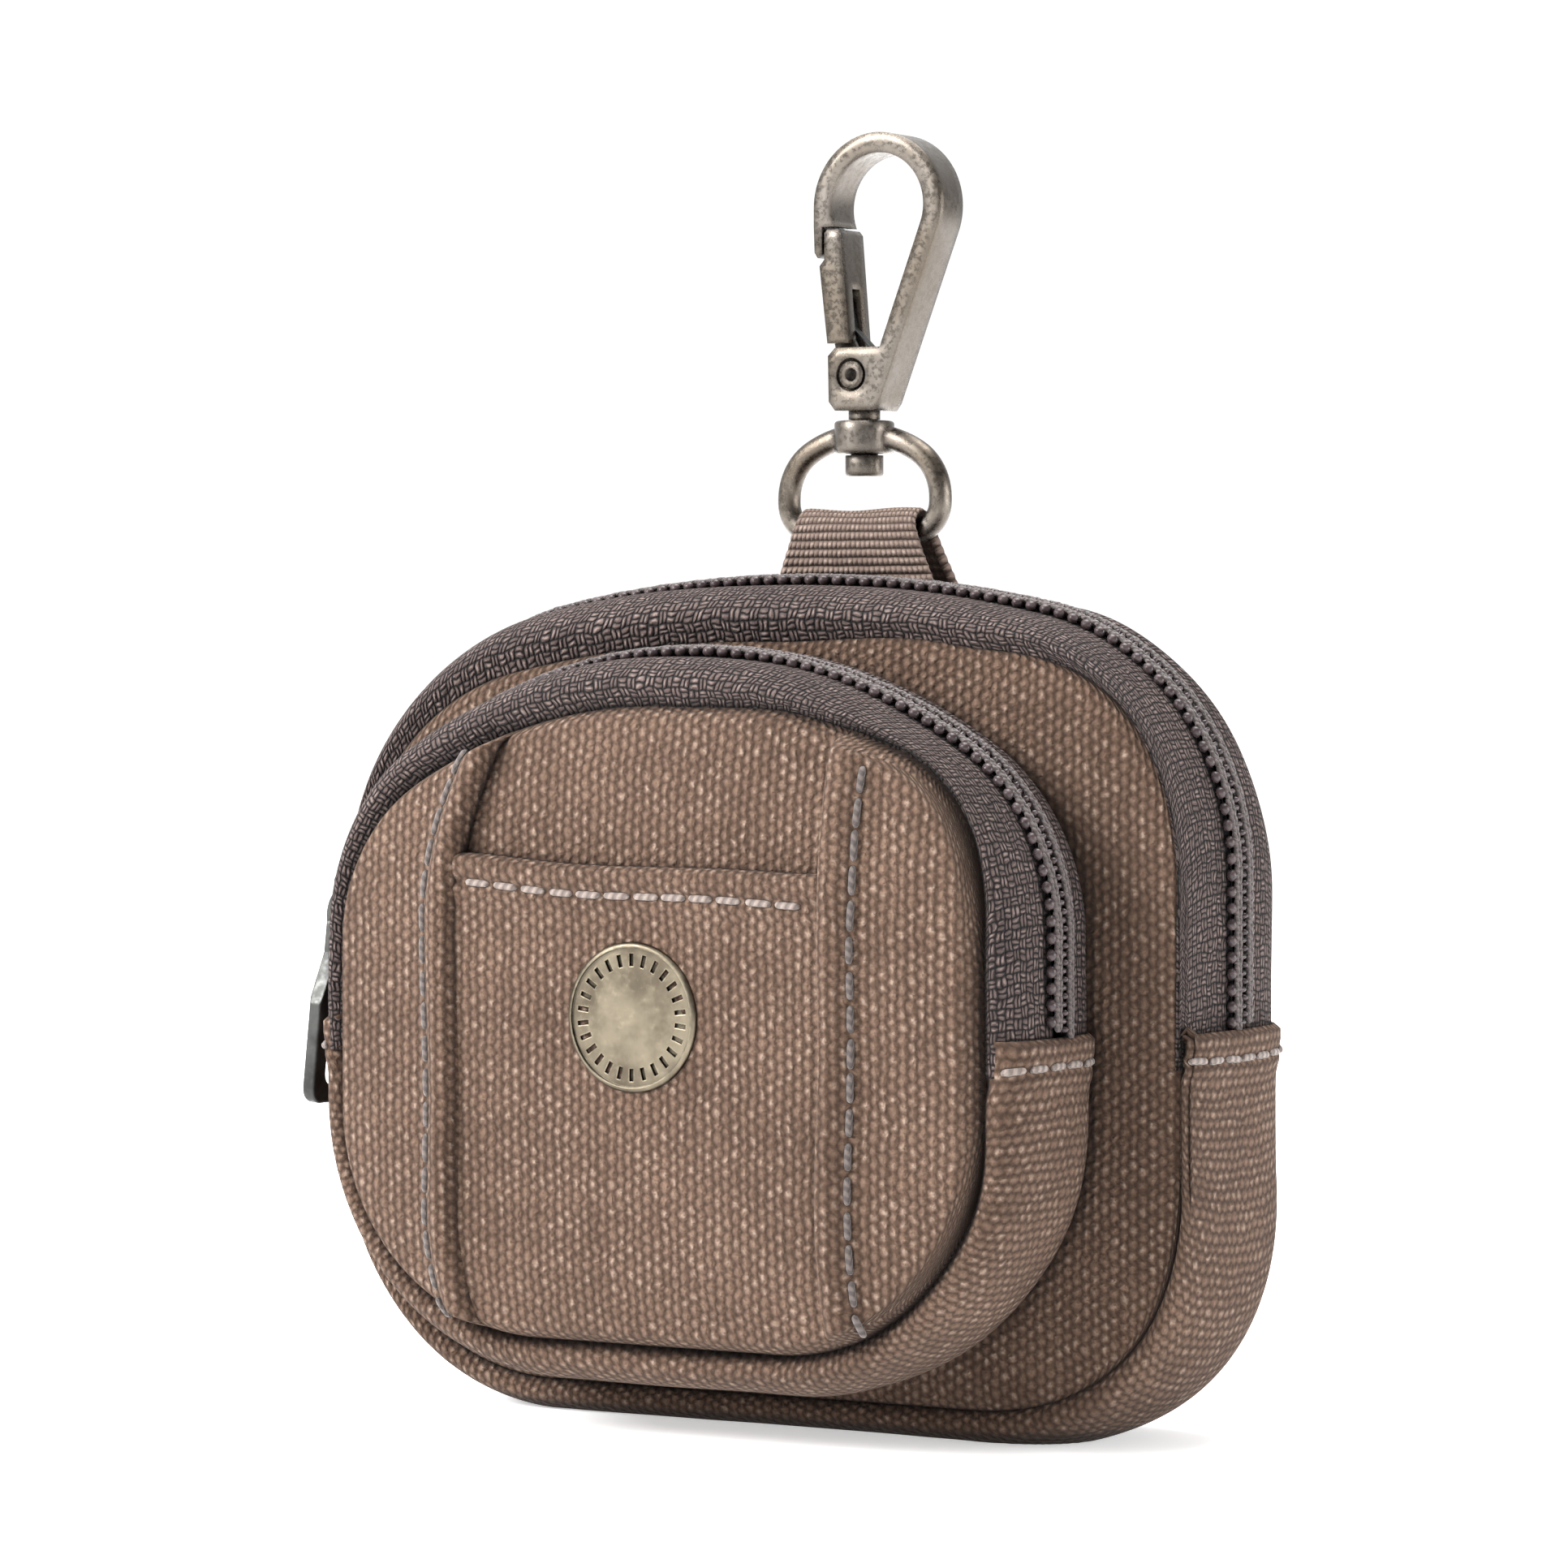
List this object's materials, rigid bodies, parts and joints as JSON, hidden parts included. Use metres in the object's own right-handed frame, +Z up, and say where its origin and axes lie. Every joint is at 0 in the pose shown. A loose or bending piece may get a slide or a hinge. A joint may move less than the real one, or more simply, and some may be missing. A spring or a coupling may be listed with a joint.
{
  "type": "zipped canvas coin pouch",
  "caption": "Small canvas pouch with two zipped compartments, a front slip pocket, a snap-cap badge and a swivel snap hook on a webbing loop.",
  "frame": {"origin": "centre of the flat foot of the main compartment, on the surface that the pouch stands on", "axes": "+Z up, -Y towards the front pocket, +X to the right seen from the front"},
  "size_m": [0.1114, 0.0515, 0.1395],
  "materials": {
    "canvas": "coarse plain-woven cotton canvas, mottled brown, matte",
    "zip_tape": "fine twill-ribbed polyester zip tape, mauve brown, matte",
    "zip_coil": "wound nylon filament, dark brown, satin",
    "webbing": "ribbed polyester webbing, brown, matte",
    "lining_cloth": "thin plain-woven polyester lining, brown",
    "antique_brass": "antique brass, dark in the recesses, polished on the rim",
    "aged_hook_metal": "brushed antique brass plating, worn bright at edges",
    "spring_steel": "plain spring steel",
    "dark_zinc": "gunmetal-plated zinc, satin"
  },
  "bodies": {
    "pouch": {"main_gusset": "canvas", "main_front_panel": "canvas", "main_back_panel": "canvas", "main_lining": "lining_cloth", "pocket_gusset": "canvas", "pocket_lining": "lining_cloth", "webbing_loop": "webbing", "badge_cap": "antique_brass", "badge_post": "antique_brass", "badge_washer": "antique_brass", "pocket_centre_panel": "canvas", "pocket_slip_panel": "canvas", "pocket_side_panel_left": "canvas", "pocket_side_panel_right": "canvas", "main_zip_tape_front": "zip_tape", "main_zip_tape_rear": "zip_tape", "main_zip_coil_front": "zip_coil", "main_zip_coil_rear": "zip_coil", "pocket_zip_tape_front": "zip_tape", "pocket_zip_tape_rear": "zip_tape", "pocket_zip_coil_front": "zip_coil", "pocket_zip_coil_rear": "zip_coil"},
    "swivel_eye_body": {"swivel_eye": "aged_hook_metal"},
    "hook": {"hook_body": "aged_hook_metal", "swivel_stud": "aged_hook_metal", "gate_rivet": "aged_hook_metal", "gate_spring": "spring_steel"},
    "gate": {"gate_lever": "aged_hook_metal"},
    "main_slider": {"main_slider_body": "dark_zinc", "main_slider_bridge": "dark_zinc"},
    "main_pull": {"main_pull_tab": "dark_zinc"},
    "pocket_slider": {"pocket_slider_body": "dark_zinc", "pocket_slider_bridge": "dark_zinc"},
    "pocket_pull": {"pocket_pull_tab": "dark_zinc"}
  },
  "joints": [
    {"name": "eye_swing", "type": "hinge", "parent": "pouch", "child": "swivel_eye_body", "pos_m": [0, 0.0125, 0.0957], "axis": [1, 0, 0], "range_deg": [-95, 75]},
    {"name": "hook_swivel", "type": "hinge", "parent": "swivel_eye_body", "child": "hook", "pos_m": [0, 0.0125, 0.11], "axis": [0, 0, 1], "continuous": true},
    {"name": "gate_swing", "type": "hinge", "parent": "hook", "child": "gate", "pos_m": [-0.0003, 0.0125, 0.1131], "axis": [0, 1, 0], "range_deg": [0, 18], "stiffness_Nm_per_rad": 0.03, "springref_deg": -17.19, "deforming": ["gate_spring"]},
    {"name": "main_slider_run", "type": "hinge", "parent": "pouch", "child": "main_slider", "pos_m": [-0.024, 0, 0.05967], "axis": [0, 1, 0], "range_deg": [0, 62], "deforming": ["main_zip_coil_front", "main_zip_coil_rear"]},
    {"name": "main_pull_swing", "type": "hinge", "parent": "main_slider", "child": "main_pull", "pos_m": [-0.0555, 0, 0.05877], "axis": [0, 1, 0], "range_deg": [-8, 130]},
    {"name": "pocket_slider_run", "type": "hinge", "parent": "pouch", "child": "pocket_slider", "pos_m": [-0.0194, -0.0215, 0.05383], "axis": [0, 1, 0], "range_deg": [0, 62], "deforming": ["pocket_zip_coil_front", "pocket_zip_coil_rear"]},
    {"name": "pocket_pull_swing", "type": "hinge", "parent": "pocket_slider", "child": "pocket_pull", "pos_m": [-0.0459, -0.0215, 0.05293], "axis": [0, 1, 0], "range_deg": [-8, 130]}
  ]
}
